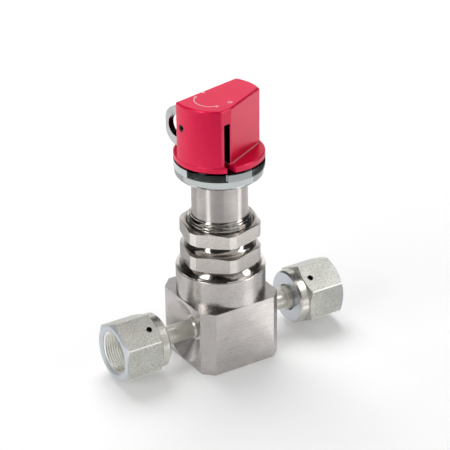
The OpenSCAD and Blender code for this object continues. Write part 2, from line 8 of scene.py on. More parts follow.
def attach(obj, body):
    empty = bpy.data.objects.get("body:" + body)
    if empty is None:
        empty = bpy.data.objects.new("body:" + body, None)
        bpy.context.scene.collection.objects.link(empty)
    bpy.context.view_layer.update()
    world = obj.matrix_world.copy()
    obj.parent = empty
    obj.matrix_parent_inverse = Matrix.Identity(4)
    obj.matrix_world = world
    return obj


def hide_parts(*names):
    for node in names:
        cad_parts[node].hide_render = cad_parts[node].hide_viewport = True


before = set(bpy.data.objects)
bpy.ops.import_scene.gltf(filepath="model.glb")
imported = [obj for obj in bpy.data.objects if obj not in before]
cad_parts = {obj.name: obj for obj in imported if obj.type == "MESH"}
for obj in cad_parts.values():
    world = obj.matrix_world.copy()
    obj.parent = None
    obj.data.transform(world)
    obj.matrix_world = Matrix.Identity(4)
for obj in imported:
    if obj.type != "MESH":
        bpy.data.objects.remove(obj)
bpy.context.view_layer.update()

# Lengths are in millimetres and angles in degrees, unless a comment says otherwise. Blender works in metres.
MM = 0.001
TAU = 2 * math.pi
SCENE = bpy.context.scene

# Heights on the upright axis, as in the solids
BOSS_TOP = 33.0
LOWER_HEX = (35.0, 40.5)
PANEL_THREAD = (40.5, 52.0)
PANEL_HEX = (44.0, 49.05)
RING_TOP = 72.2
HANDLE_TOP = 93.95
PORT_HEIGHT = 11.2

# Handle, in its own axes: the wing lies along Y. The padlock hole is at y, z, with its radius.
HANDLE_TURN = 12.4
SLOT_X = -7.2
SLOT_WIDTH = 2.5
SLOT_TOP = 88.8
FOOT_TOP = 74.5
PADLOCK_HOLE = (11.0, 81.725, 3.8)

# The painted highlight line where the wing meets its foot: its heights above the foot, and its reach from the
# axis
COVE_LINE = (0.04, 0.4)
COVE_REACH = 13.3

# Marks on the handle's top: an arc from -X towards -Y, a dot for closed and a ring for open.
# Dot and ring are x, y, inner radius and outer radius.
ARC_CENTRE = (-4.5, -2.9)
ARC_R = 5.5
ARC_HALF = 0.2
ARC_START = -52
ARC_END = 74
ARC_HEAD = 12
ARC_HEAD_HALF = 0.7
CLOSED_DOT = (-3.6, 3.4, 0.0, 0.6)
OPEN_RING = (-0.6, -7.9, 0.4, 0.8)
MARK_STRENGTH = 0.75

# Large nuts: hexagons with turned corners, whose end faces are chamfered from a radius outwards
BIG_FLATS = 24.8
BIG_CORNERS = 27.1
BIG_TURN = 46.3
BIG_FILLET = 0.15
BIG_FACE_R = BIG_FLATS / 2 - 0.4
BIG_CHAMFER = 0.39

# Bonnet nut: panel thread, smooth hollow below it, and flared foot on the boss
SLEEVE_R = 9.35
NUT_BORE_R = SLEEVE_R + 0.1
PANEL_THREAD_R = 10.75
PANEL_THREAD_DEPTH = 0.74
PANEL_THREAD_PITCH = 1.0
PANEL_THREAD_RUNOUT = 1.1
THREAD_END = 43.3
HOLLOW_ROOT_R = 9.85
HOLLOW_BEND_R = 3.2
HOLLOW_SLOPES = (8, 58)
NUT_NECK_R = 12.0
NUT_FOOT_R = 13.7
NUT_FOOT_BEND_R = 0.5
NUT_BOTTOM = 24.0
BOSS_RIM_RISE = 0.35
BOSS_RIM_R = 14.85

# Port nuts: depths are from the mouth. A chamfer gives how far inside the flats it starts, and how much it
# falls for each mm outwards. A leak hole is drilled in a flat that faces LEAK_LEAN off upright.
NUT_FLATS = 19.05
NUT_FILLET = 0.3
NUT_TURN = 3.1
NUT_LENGTH = 17.2
NUT_HEX_END = 14.0
MOUTH_CHAMFER = (0.2, 0.62)
BACK_CHAMFER = (0.5, 0.55)
GLAND_BORE_R = 4.65
GLAND_BORE_DEPTH = 12.3
HEAD_ROOM_R = 7.25
PORT_HOLE_R = 6.95
PORT_MOUTH_R = PORT_HOLE_R + 1.1
PORT_THREAD_DEPTH = 0.45
PORT_THREAD_PITCH = 0.85
PORT_THREAD_RUNOUT = 0.4
PORT_THREAD_DEPTHS = (0.4, 6.4)
COLLAR_R = 9.25
COLLAR_CHAMFER = 0.6
INLET_MOUTH = 42.0
OUTLET_MOUTH = 43.8
LEAK_R = 1.0
LEAK_BACK = 11.0
LEAK_LEAN = 30 + NUT_TURN
LEAK_MIDDLE_R = 8.4
LEAK_LENGTH = 4.6

# Edges sharper than this stay sharp
SHARP_EDGE = 14


# Meshes

def make_piece(name, points, faces, body, material, replaces=(), place=None):
    """A mesh in millimetres, put on its body, smooth but for its sharp edges."""
    mesh = bpy.data.meshes.new(name)
    spots = [Vector(p) for p in points]
    if place is not None:
        spots = [place @ p for p in spots]
    mesh.from_pydata([p * MM for p in spots], [], faces)
    mesh.materials.append(material)
    mesh.shade_smooth()
    mesh.set_sharp_from_angle(angle=math.radians(SHARP_EDGE))
    mesh.update()
    piece = bpy.data.objects.new(name, mesh)
    SCENE.collection.objects.link(piece)
    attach(piece, body)
    if replaces:
        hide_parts(*replaces)
    return piece


def wrap(turns, outline):
    """Points and faces of a closed skin round Z. outline(turn) gives one closed loop of (radius, height)."""
    loops = [outline(t) for t in turns]
    count = len(loops[0])
    points = []
    for t, loop in zip(turns, loops):
        points += [(r * math.cos(t), r * math.sin(t), z) for r, z in loop]
    faces = []
    for i in range(len(turns)):
        j = (i + 1) % len(turns)
        for k in range(count):
            m = (k + 1) % count
            faces.append((i * count + k, j * count + k, j * count + m, i * count + m))
    return points, faces


def even_turns(count):
    return [TAU * i / count for i in range(count)]


def hexagon(flats, fillet, turn, flat_steps=5, corner_steps=6):
    """Turns round a hexagon with rounded corners, and its radius at a turn. turn is where a flat faces."""
    apothem = flats / 2
    centre = (apothem - fillet) / math.cos(math.pi / 6)
    edge = math.atan2((apothem - fillet) * math.tan(math.pi / 6), apothem)
    start = math.radians(turn)

    def radius(angle):
        local = (angle - start + math.pi / 6) % (math.pi / 3) - math.pi / 6
        if abs(local) <= edge:
            return apothem / math.cos(local)
        off = math.pi / 6 - abs(local)
        return centre * math.cos(off) + math.sqrt(max(fillet ** 2 - (centre * math.sin(off)) ** 2, 0))

    turns = []
    for k in range(6):
        middle = start + k * math.pi / 3
        turns += [middle - edge + 2 * edge * s / flat_steps for s in range(flat_steps + 1)]
        gap = math.pi / 3 - 2 * edge
        turns += [middle + edge + gap * s / corner_steps for s in range(1, corner_steps)]
    return turns, radius


def merge_turns(*lists, least=0.004):
    """One rising list of turns out of several, without steps below least radians."""
    made = []
    for t in sorted(x % TAU for group in lists for x in group):
        if not made or t - made[-1] > least:
            made.append(t)
    if made[0] + TAU - made[-1] < least:
        made.pop()
    return made


def thread_rows(angle, low, high, crest, depth, pitch, start, runout, steps=10, blunt=0.12):
    """(radius, height) down a right-hand thread at one turn. Both ends run out to the radius start.

    A pitch has so many steps, and blunt is how much of the wave its flat crest and root take.
    """
    rows = int(round((high - low) / pitch * steps))
    made = []
    for i in range(rows + 1):
        z = high - (high - low) * i / rows
        phase = (z / pitch - angle / TAU) % 1
        wave = min(1, max(0, abs(2 * phase - 1) * (1 + 2 * blunt) - blunt))
        fade = min(1, (high - z) / runout, (z - low) / runout)
        made.append((start + (crest - depth * wave - start) * fade, z))
    return made


# Materials

def linear(*srgb):
    """A written colour as the scene counts it."""
    return tuple((c / 12.92 if c <= 0.04045 else ((c + 0.055) / 1.055) ** 2.4) for c in srgb)


# Painted highlight colour for the hexagons' turned corners
CORNER_HIGHLIGHT_STEEL = linear(0.86, 0.84, 0.82)
END_STEEL = linear(0.79, 0.81, 0.83)
# Painted highlight colour for the port nuts' long edges and the inside of their bores
PAINTED_HIGHLIGHT_STEEL = linear(0.98, 0.98, 0.96)
MARK_PALE = linear(0.90, 0.80, 0.86)
# Painted highlight colour for the line where the handle's wing meets its foot
COVE_HIGHLIGHT_PINK = linear(0.99, 0.62, 0.66)
# Painted shade colour for the inside of the port nuts' leak holes
LEAK_HOLE_SHADE = (0.004, 0.004, 0.004)
# Painted shade colour for the wall of the padlock hole
PADLOCK_HOLE_SHADE = (0.006, 0.006, 0.006)
# Painted shade colour for the walls of the handle's slot
SLOT_SHADE_BLACK = (0.003, 0.003, 0.003)
# Painted shade colour for the bevel on the ring's top edge
LIP_SHADE_DARK = (0.02, 0.02, 0.02)

# How far a colour reaches: past the face it is for, along a port nut's ends, in from its corners for the
# painted edge highlight, out from its axis for the painted highlight inside, and down from the ring's top for
# the painted shade on its lip
PAINT_OVER = 0.02
END_REACH = 0.7
EDGE_REACH = 0.15
INSIDE_REACH = 7.6
LIP_REACH = 0.42


def node_group(name, inputs, outputs):
    group = bpy.data.node_groups.new(name, "ShaderNodeTree")
    for title, kind, value in inputs:
        socket = group.interface.new_socket(title, in_out="INPUT", socket_type=kind)
        if value is not None:
            socket.default_value = value
    for title, kind in outputs:
        group.interface.new_socket(title, in_out="OUTPUT", socket_type=kind)
    return group, group.nodes.new("NodeGroupInput"), group.nodes.new("NodeGroupOutput")


def maths(tree, operation, first, second=None, clamp=False):
    node = tree.nodes.new("ShaderNodeMath")
    node.operation = operation
    node.use_clamp = clamp
    for socket, value in zip(node.inputs, (first, second)):
        if value is None:
            continue
        if isinstance(value, (int, float)):
            socket.default_value = value
        else:
            tree.links.new(value, socket)
    return node.outputs[0]


def noise(tree, vector, scale, detail=2.0, roughness=0.5):
    """Noise with its features about 1 / scale metres wide. scale is a number or a socket."""
    node = tree.nodes.new("ShaderNodeTexNoise")
    if isinstance(scale, (int, float)):
        node.inputs["Scale"].default_value = scale
    else:
        tree.links.new(scale, node.inputs["Scale"])
    node.inputs["Detail"].default_value = detail
    node.inputs["Roughness"].default_value = roughness
    tree.links.new(vector, node.inputs["Vector"])
    return node.outputs["Fac"]


def span(tree, value, low, high, to_low=0.0, to_high=1.0):
    """The value stretched from low and high to to_low and to_high, and held there beyond them."""
    node = tree.nodes.new("ShaderNodeMapRange")
    tree.links.new(value, node.inputs["Value"])
    for title, number in zip(("From Min", "From Max", "To Min", "To Max"), (low, high, to_low, to_high)):
        node.inputs[title].default_value = number
    return node.outputs[0]


def object_position(tree):
    return tree.nodes.new("ShaderNodeTexCoord").outputs["Object"]


def split(tree, vector):
    """X, Y and Z of a vector."""
    parts = tree.nodes.new("ShaderNodeSeparateXYZ")
    tree.links.new(vector, parts.inputs[0])
    return parts.outputs


def squares(tree, a, b):
    """The sum of both squares."""
    return maths(tree, "ADD", maths(tree, "POWER", a, 2), maths(tree, "POWER", b, 2))


def away_from(tree, x, y, centre):
    """Distances along X and Y from a centre in mm, and the distance itself."""
    dx, dy = (maths(tree, "SUBTRACT", v, c * MM) for v, c in zip((x, y), centre))
    return dx, dy, maths(tree, "POWER", squares(tree, dx, dy), 0.5)


def both(tree, first, second):
    """A mask of where two masks overlap."""
    return maths(tree, "MULTIPLY", first, second)


def within(tree, value, low, high):
    """A mask of where the value lies between low and high."""
    return both(tree, maths(tree, "GREATER_THAN", value, low), maths(tree, "LESS_THAN", value, high))


def blend_colour(tree, amount, under, over):
    """A plain colour laid on under, by an amount from 0 to 1."""
    mix = tree.nodes.new("ShaderNodeMix")
    mix.data_type = "RGBA"
    tree.links.new(amount, mix.inputs["Factor"])
    tree.links.new(under, mix.inputs["A"])
    mix.inputs["B"].default_value = (*over, 1)
    return mix.outputs["Result"]


def build_turned_lines():
    """Fine lines that a lathe leaves: the same all round the axis, changing along it and across a face."""
    group, given, out = node_group("turned lines", [("Position", "NodeSocketVector", None)],
                                   [("Lines", "NodeSocketFloat")])
    x, y, z = split(group, given.outputs["Position"])
    join = group.nodes.new("ShaderNodeCombineXYZ")
    group.links.new(maths(group, "POWER", squares(group, x, y), 0.5), join.inputs[0])
    group.links.new(z, join.inputs[2])
    fine = noise(group, join.outputs[0], 5200, 3, 0.65)
    wide = noise(group, join.outputs[0], 900, 2)
    lines = maths(group, "ADD", maths(group, "MULTIPLY", fine, 0.7), maths(group, "MULTIPLY", wide, 0.3))
    group.links.new(span(group, lines, 0.3, 0.7), out.inputs["Lines"])
    return group


def build_ground_lines():
    """Short straight scratches along X of the position, as a belt leaves them."""
    group, given, out = node_group("ground lines", [("Position", "NodeSocketVector", None)],
                                   [("Lines", "NodeSocketFloat")])
    stretch = group.nodes.new("ShaderNodeMapping")
    stretch.inputs["Scale"].default_value = (160, 4200, 4200)
    group.links.new(given.outputs["Position"], stretch.inputs["Vector"])
    group.links.new(span(group, noise(group, stretch.outputs[0], 1, 4, 0.6), 0.3, 0.7), out.inputs["Lines"])
    return group


def build_grain():
    """Even fine speckle of rolled, blasted or anodised metal."""
    group, given, out = node_group("fine grain", [("Position", "NodeSocketVector", None),
                                                  ("Fineness", "NodeSocketFloat", 3000.0)],
                                   [("Grain", "NodeSocketFloat")])
    speckle = noise(group, given.outputs["Position"], given.outputs["Fineness"], 3, 0.7)
    group.links.new(span(group, speckle, 0.32, 0.68), out.inputs["Grain"])
    return group


def build_smudges():
    """Soft uneven patches from handling and washing."""
    group, given, out = node_group("handling smudges", [("Position", "NodeSocketVector", None)],
                                   [("Patches", "NodeSocketFloat")])
    soft = noise(group, given.outputs["Position"], 130, 3, 0.55)
    group.links.new(span(group, soft, 0.35, 0.65), out.inputs["Patches"])
    return group


def build_port_nut_tint_and_light():
    """Port nuts: cooler turned end faces, painted highlights on the long edges and inside the bore, and
    painted shade in the leak holes.
    """
    group, given, out = node_group("port nut tint and painted light", [("Position", "NodeSocketVector", None),
                                                     ("Under", "NodeSocketColor", (1, 1, 1, 1))],
                                   [("Colour", "NodeSocketColor")])
    x, y, z = split(group, given.outputs["Position"])
    mouths = maths(group, "ADD", maths(group, "LESS_THAN", x, (END_REACH - INLET_MOUTH) * MM),
                   maths(group, "GREATER_THAN", x, (OUTLET_MOUTH - END_REACH) * MM))
    backs = within(group, x, (NUT_LENGTH - INLET_MOUTH - 0.1) * MM, (OUTLET_MOUTH - NUT_LENGTH + 0.1) * MM)
    height = maths(group, "SUBTRACT", z, PORT_HEIGHT * MM)
    squared = squares(group, y, height)
    # Painted highlight: inside the bore the colour is made much lighter
    inside = maths(group, "LESS_THAN", squared, (INSIDE_REACH * MM) ** 2)
    colour = blend_colour(group, inside, given.outputs["Under"], PAINTED_HIGHLIGHT_STEEL)
    colour = blend_colour(group, maths(group, "ADD", mouths, backs), colour, END_STEEL)
    # Painted highlight: the long edges of the hexagon are made much lighter
    corner = NUT_FLATS / 2 / math.cos(math.pi / 6)
    edge = maths(group, "GREATER_THAN", squared, ((corner - EDGE_REACH) * MM) ** 2)
    colour = blend_colour(group, edge, colour, PAINTED_HIGHLIGHT_STEEL)
    lean = math.radians(LEAK_LEAN)
    sideways = maths(group, "ADD", maths(group, "MULTIPLY", y, math.cos(lean)),
                     maths(group, "MULTIPLY", height, math.sin(lean)))
    outward = maths(group, "SUBTRACT", maths(group, "MULTIPLY", height, math.cos(lean)),
                    maths(group, "MULTIPLY", y, math.sin(lean)))
    # Painted shade: the leak holes are coloured black
    for centre in (LEAK_BACK - INLET_MOUTH, OUTLET_MOUTH - LEAK_BACK):
        away = away_from(group, x, sideways, (centre, 0))[2]
        hole = both(group, maths(group, "LESS_THAN", away, (LEAK_R + PAINT_OVER) * MM),
                    maths(group, "GREATER_THAN", outward, 0))
        colour = blend_colour(group, hole, colour, LEAK_HOLE_SHADE)
    group.links.new(colour, out.inputs["Colour"])
    return group


GROUPS = {
    "turned": build_turned_lines(),
    "ground": build_ground_lines(),
    "grain": build_grain(),
    "smudges": build_smudges(),
    "port nut tint and painted light": build_port_nut_tint_and_light(),
}


def place_group(tree, which, position):
    node = tree.nodes.new("ShaderNodeGroup")
    node.node_tree = GROUPS[which]
    tree.links.new(position, node.inputs["Position"])
    return node


def finish(name, colour, deep, roughness, spread, pattern, fineness=3000, relief=0.002, metallic=1.0,
           along_port=False, turn=0, patchiness=0.35, lathe_turned=0.0, mask=None):
    """A surface whose pattern changes its colour from colour to deep, its roughness and its height.

    roughness is the middle, spread how much it changes, and relief the height in mm. patchiness is the share
    of smudges in it. along_port lays the pattern along the ports, and turn rotates it about the upright axis.
    A mask lays other colours over it.
    """
    material = bpy.data.materials.new(name)
    material.use_nodes = True
    tree = material.node_tree
    shader = tree.nodes["Principled BSDF"]
    where = object_position(tree)
    if along_port or turn:
        mapping = tree.nodes.new("ShaderNodeMapping")
        mapping.vector_type = "TEXTURE"
        mapping.inputs["Location"].default_value = (0, 0, PORT_HEIGHT * MM) if along_port else (0, 0, 0)
        mapping.inputs["Rotation"].default_value = (0, math.pi / 2 if along_port else 0, math.radians(turn))
        tree.links.new(where, mapping.inputs["Vector"])
        where = mapping.outputs[0]
    pattern_node = place_group(tree, pattern, where)
    if pattern == "grain":
        pattern_node.inputs["Fineness"].default_value = fineness
    marks = pattern_node.outputs[0]
    patches = place_group(tree, "smudges", where).outputs[0]
    shade = maths(tree, "ADD", maths(tree, "MULTIPLY", marks, 1 - patchiness),
                  maths(tree, "MULTIPLY", patches, patchiness))
    ramp = tree.nodes.new("ShaderNodeMix")
    ramp.data_type = "RGBA"
    ramp.inputs["A"].default_value = (*linear(*deep), 1)
    ramp.inputs["B"].default_value = (*linear(*colour), 1)
    tree.links.new(shade, ramp.inputs["Factor"])
    shown = ramp.outputs["Result"]
    if mask:
        shown = mask(tree, shown)
    tree.links.new(shown, shader.inputs["Base Color"])
    rough = span(tree, shade, 0, 1, roughness + spread / 2, roughness - spread / 2)
    tree.links.new(rough, shader.inputs["Roughness"])
    bump = tree.nodes.new("ShaderNodeBump")
    bump.inputs["Strength"].default_value = 1
    bump.inputs["Distance"].default_value = relief * MM
    tree.links.new(marks, bump.inputs["Height"])
    tree.links.new(bump.outputs[0], shader.inputs["Normal"])
    shader.inputs["Metallic"].default_value = metallic
    if lathe_turned:
        shader.inputs["Anisotropic"].default_value = lathe_turned
        shader.inputs["Anisotropic Rotation"].default_value = 0.25
    return material


def handle_axes(tree):
    """X, Y and Z in the handle's own frame: its wing lies along Y."""
    turned = tree.nodes.new("ShaderNodeMapping")
    turned.vector_type = "TEXTURE"
    turned.inputs["Rotation"].default_value = (0, 0, math.radians(HANDLE_TURN))
    tree.links.new(object_position(tree), turned.inputs["Vector"])
    return split(tree, turned.outputs[0])


def brighten_corners(tree, under):
    """The hexagons' corners are turned on the lathe; a painted highlight makes them brighter than the milled
    flats.
    """
    x, y, z = split(tree, object_position(tree))
    corner = maths(tree, "GREATER_THAN", squares(tree, x, y), ((BIG_CORNERS / 2 - 0.03) * MM) ** 2)
    return blend_colour(tree, corner, under, CORNER_HIGHLIGHT_STEEL)


# Lays the port nuts' end tint, their painted highlights and their painted leak-hole shade over a colour
def tint_and_light_port_nut(tree, under):
    tint_and_light = place_group(tree, "port nut tint and painted light", object_position(tree))
    tree.links.new(under, tint_and_light.inputs["Under"])
    return tint_and_light.outputs["Colour"]


def paint_padlock_hole_shade(tree, under):
    """Painted shade: the wall of the punched padlock hole is coloured dark."""
    x, y, z = handle_axes(tree)
    centre, radius = PADLOCK_HOLE[:2], PADLOCK_HOLE[2]
    edge = maths(tree, "LESS_THAN", away_from(tree, y, z, centre)[2], (radius + PAINT_OVER) * MM)
    return blend_colour(tree, edge, under, PADLOCK_HOLE_SHADE)


def paint_ring_lip_shade(tree, under):
    """Painted shade: the narrow bevel at the ring's top edge, under the handle, is coloured dark."""
    x, y, z = split(tree, object_position(tree))
    return blend_colour(tree, maths(tree, "GREATER_THAN", z, (RING_TOP - LIP_REACH) * MM), under, LIP_SHADE_DARK)


def paint_slot_shade(tree, under):
    """Painted shade: the walls of the narrow slot are coloured black."""
    x, y, z = handle_axes(tree)
    half = SLOT_WIDTH / 2 + PAINT_OVER
    walls = both(tree, within(tree, x, (SLOT_X - half) * MM, (SLOT_X + half) * MM),
                 within(tree, z, (FOOT_TOP + 0.3) * MM, (SLOT_TOP + PAINT_OVER) * MM))
    return blend_colour(tree, walls, under, SLOT_SHADE_BLACK)


def paint_cove_highlight(tree, under):
    """Painted highlight: a bright line where the wing meets its foot."""
    x, y, z = split(tree, object_position(tree))
    low, high = COVE_LINE
    near = maths(tree, "LESS_THAN", away_from(tree, x, y, (0, 0))[2], COVE_REACH * MM)
    line = both(tree, within(tree, z, (FOOT_TOP + low) * MM, (FOOT_TOP + high) * MM), near)
    return blend_colour(tree, line, under, COVE_HIGHLIGHT_PINK)


def mark_and_light_handle(tree, under):
    """An arc with an arrowhead at each end on the handle's top shows which way it turns."""
    # Painted highlight at the cove and painted shade in the slot go under the print
    body = paint_slot_shade(tree, paint_cove_highlight(tree, under))
    x, y, z = split(tree, object_position(tree))
    dx, dy, away = away_from(tree, x, y, ARC_CENTRE)
    off = maths(tree, "ABSOLUTE", maths(tree, "SUBTRACT", away, ARC_R * MM))
    turned = maths(tree, "ARCTAN2", maths(tree, "MULTIPLY", dy, -1), maths(tree, "MULTIPLY", dx, -1))
    start, end, head = (math.radians(a) for a in (ARC_START, ARC_END, ARC_HEAD))
    marks = both(tree, maths(tree, "LESS_THAN", off, ARC_HALF * MM), within(tree, turned, start, end))
    for low, high, from_half, to_half in ((start - head, start, 0, ARC_HEAD_HALF),
                                          (end, end + head, ARC_HEAD_HALF, 0)):
        half = span(tree, turned, low, high, from_half * MM, to_half * MM)
        point = both(tree, within(tree, turned, low, high), maths(tree, "LESS_THAN", off, half))
        marks = maths(tree, "ADD", marks, point, clamp=True)
    for spot_x, spot_y, inner, outer in (CLOSED_DOT, OPEN_RING):
        spot = away_from(tree, x, y, (spot_x, spot_y))[2]
        marks = maths(tree, "ADD", marks, within(tree, spot, (inner - 0.01) * MM, outer * MM), clamp=True)
    top = maths(tree, "GREATER_THAN", z, (HANDLE_TOP - 0.06) * MM)
    amount = maths(tree, "MULTIPLY", both(tree, marks, top), MARK_STRENGTH)
    return blend_colour(tree, amount, body, MARK_PALE)


def paint(node, material):
    """Gives a solid from the CAD a finish."""
    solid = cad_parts[node]
    solid.data.materials.clear()
    solid.data.materials.append(material)


BLOCK_STEEL = finish(
    "satin block steel", (0.81, 0.79, 0.78), (0.72, 0.70, 0.69), 0.27, 0.08, "ground", relief=0.0018)
BRIGHT_STEEL = finish(
    "polished tube steel", (0.97, 0.96, 0.92), (0.90, 0.89, 0.84), 0.20, 0.06, "turned", relief=0.0005,
    metallic=0.35, along_port=True)
SLEEVE_STEEL = finish(
    "fine turned sleeve steel", (0.82, 0.79, 0.78), (0.75, 0.73, 0.71), 0.30, 0.08, "turned", relief=0.0008,
    lathe_turned=1.0)
TURNED_STEEL = finish(
    "bright turned nut steel", (0.80, 0.78, 0.76), (0.72, 0.70, 0.68), 0.13, 0.04, "turned", relief=0.0011)
MILLED_STEEL = finish(
    "milled nut steel", (0.82, 0.80, 0.78), (0.68, 0.66, 0.64), 0.24, 0.08, "grain", fineness=2400,
    relief=0.006, patchiness=0.2, mask=brighten_corners)
PORT_NUT_STEEL = finish(
    "rolled nut steel", (0.96, 0.96, 0.93), (0.62, 0.62, 0.59), 0.33, 0.14, "grain", fineness=2500,
    relief=0.021, metallic=0.7, along_port=True, patchiness=0.15, mask=tint_and_light_port_nut)
TURNED_NUT_STEEL = finish(
    "turned nut steel", (0.92, 0.91, 0.88), (0.82, 0.81, 0.78), 0.22, 0.08, "turned", relief=0.0006,
    metallic=0.85, along_port=True, mask=tint_and_light_port_nut)
CHROME = finish(
    "mirror chrome", (0.78, 0.80, 0.80), (0.75, 0.77, 0.77), 0.07, 0.02, "turned", relief=0.0001,
    mask=paint_ring_lip_shade)
PLATE_STEEL = finish(
    "stamped plate steel", (0.80, 0.80, 0.80), (0.72, 0.72, 0.73), 0.28, 0.10, "ground", relief=0.001,
    turn=90 + HANDLE_TURN, mask=paint_padlock_hole_shade)
SCREW_STEEL = finish(
    "dark screw steel", (0.42, 0.40, 0.40), (0.25, 0.24, 0.24), 0.35, 0.12, "grain", relief=0.004)
SPRING_STEEL = finish("plain spring steel", (0.70, 0.70, 0.71), (0.58, 0.58, 0.60), 0.30, 0.10, "grain")
STEM_STEEL = finish("ground stem steel", (0.78, 0.78, 0.78), (0.70, 0.70, 0.70), 0.22, 0.08, "turned")
BRONZE = finish("machined bronze", (0.80, 0.66, 0.42), (0.70, 0.54, 0.32), 0.30, 0.10, "turned")
ALLOY = finish(
    "thin rolled alloy", (0.80, 0.81, 0.83), (0.74, 0.75, 0.78), 0.22, 0.08, "grain", relief=0.001)
SEAT_POLYMER = finish(
    "pale seat polymer", (0.95, 0.94, 0.90), (0.90, 0.89, 0.84), 0.45, 0.1, "turned", metallic=0)
BEARING_POLYMER = finish(
    "tan bearing polymer", (0.80, 0.74, 0.60), (0.72, 0.65, 0.50), 0.5, 0.1, "turned", metallic=0)
SEAL_RUBBER = finish(
    "black seal rubber", (0.10, 0.10, 0.10), (0.06, 0.06, 0.06), 0.6, 0.1, "grain", metallic=0)
CRIMSON = finish(
    "crimson anodised", (0.97, 0.02, 0.32), (0.89, 0.01, 0.25), 0.32, 0.08, "grain", fineness=2300,
    relief=0.013, patchiness=0.2, metallic=0.25, mask=mark_and_light_handle)

for node, material in {
    "valve_body": BLOCK_STEEL, "inlet_gland": BRIGHT_STEEL, "outlet_gland": BRIGHT_STEEL,
    "seat_ring": SEAT_POLYMER, "diaphragm": ALLOY, "bonnet": SLEEVE_STEEL, "lift_nut": BRONZE,
    "button": STEM_STEEL, "stem": STEM_STEEL, "lower_thrust_washer": BEARING_POLYMER,
    "upper_thrust_washer": BEARING_POLYMER, "stem_bushing": BRONZE, "stem_seal": SEAL_RUBBER,
    "index_ring": CHROME, "ring_clip": SPRING_STEEL, "stop_pin": SPRING_STEEL, "handle": CRIMSON,
    "handle_set_screw": SCREW_STEEL, "lock_plate": PLATE_STEEL, "plate_plunger": SCREW_STEEL,
    "plunger_ball": STEM_STEEL,
}.items():
    paint(node, material)


# Large nuts

def hex_band(radius, angle, low, high):
    """(radius, height) down the outside of a hexagon with turned corners and chamfered ends."""
    top = BIG_CORNERS / 2
    r = min(radius(angle), top)
    fall = BIG_CHAMFER * max(r - BIG_FACE_R, 0) / (top - BIG_FACE_R)
    return [(BIG_FACE_R, high), (r, high - fall), (r, low + fall), (BIG_FACE_R, low)]


def hollow_neck(steps=8):
    """(radius, height) down the smooth hollow below the panel thread, which ends on a cone at the hexagon."""
    first, last = (math.radians(a) for a in HOLLOW_SLOPES)
    made = []
    for i in range(steps + 1):
        a = first + (last - first) * i / steps
        made.append((HOLLOW_ROOT_R + HOLLOW_BEND_R * (1 - math.cos(a)),
                     THREAD_END - 0.1 - HOLLOW_BEND_R * (math.sin(a) - math.sin(first))))
    end_r, end_z = made[-1]
    bottom = PANEL_THREAD[0]
    return made + [(end_r + (end_z - bottom) * math.tan(last), bottom)]


def flared_foot(neck, top, reach, base, steps=5):
    """(radius, height) down a neck that bends outwards into a cone and ends on a thin rim."""
    slope = math.atan2(reach - neck, top - base)
    rows = []
    for i in range(steps + 1):
        a = slope * i / steps
        rows.append((neck + NUT_FOOT_BEND_R * (1 - math.cos(a)), top - NUT_FOOT_BEND_R * math.sin(a)))
    return rows + [(reach, base)]


def build_bonnet_nut():
    hex_turns, radius = hexagon(BIG_FLATS, BIG_FILLET, BIG_TURN)
    low, high = LOWER_HEX
    thread_low, thread_high = PANEL_THREAD
    hollow = hollow_neck()

    def band(angle):
        return [(NUT_BORE_R, low), (NUT_BORE_R, high)] + hex_band(radius, angle, low, high)

    def thread(angle):
        rows = thread_rows(angle, THREAD_END, thread_high, PANEL_THREAD_R, PANEL_THREAD_DEPTH,
                           PANEL_THREAD_PITCH, NUT_BORE_R + 0.05, PANEL_THREAD_RUNOUT, steps=14, blunt=0.02)
        return [(NUT_BORE_R, thread_low), (NUT_BORE_R, thread_high)] + rows + hollow

    def neck(angle):
        rows = flared_foot(NUT_NECK_R - 0.35, low, NUT_FOOT_R, BOSS_TOP + BOSS_RIM_RISE)
        return ([(NUT_BORE_R, NUT_BOTTOM), (NUT_BORE_R, low)] + rows
                + [(NUT_NECK_R, BOSS_TOP), (NUT_NECK_R, NUT_BOTTOM)])

    points, faces = wrap(merge_turns(hex_turns, even_turns(120)), band)
    make_piece("bonnet_nut_hexagon", points, faces, "valve", MILLED_STEEL, ["bonnet_nut"])
    for name, outline in (("bonnet_nut_threaded", thread), ("bonnet_nut_neck", neck)):
        points, faces = wrap(even_turns(144), outline)
        make_piece(name, points, faces, "valve", TURNED_STEEL, ["bonnet_nut"])


def build_panel_nut():
    hex_turns, radius = hexagon(BIG_FLATS, BIG_FILLET, BIG_TURN)
    bore = PANEL_THREAD_R + 0.05
    low, high = PANEL_HEX

    def outline(angle):
        return [(bore, low), (bore, high - 0.5), (bore + 0.6, high)] + hex_band(radius, angle, low, high)

    points, faces = wrap(merge_turns(hex_turns, even_turns(120)), outline)
    make_piece("panel_nut_hexagon", points, faces, "valve", MILLED_STEEL, ["panel_nut"])


def build_boss_rim():
    """The boss's chamfered lip round the foot of the nut."""
    low, high = BOSS_TOP - 0.2, BOSS_TOP + BOSS_RIM_RISE
    lip = [(NUT_FOOT_R - 0.1, low), (NUT_FOOT_R - 0.1, high), (NUT_FOOT_R + 0.15, high),
           (BOSS_RIM_R, BOSS_TOP + 0.06), (BOSS_RIM_R + 0.05, low)]
    points, faces = wrap(even_turns(144), lambda angle: lip)
    make_piece("boss_rim", points, faces, "valve", TURNED_STEEL)


build_bonnet_nut()
build_panel_nut()
build_boss_rim()


# Port nuts: drawn along Z with the mouth at 0 and the collar at -NUT_LENGTH

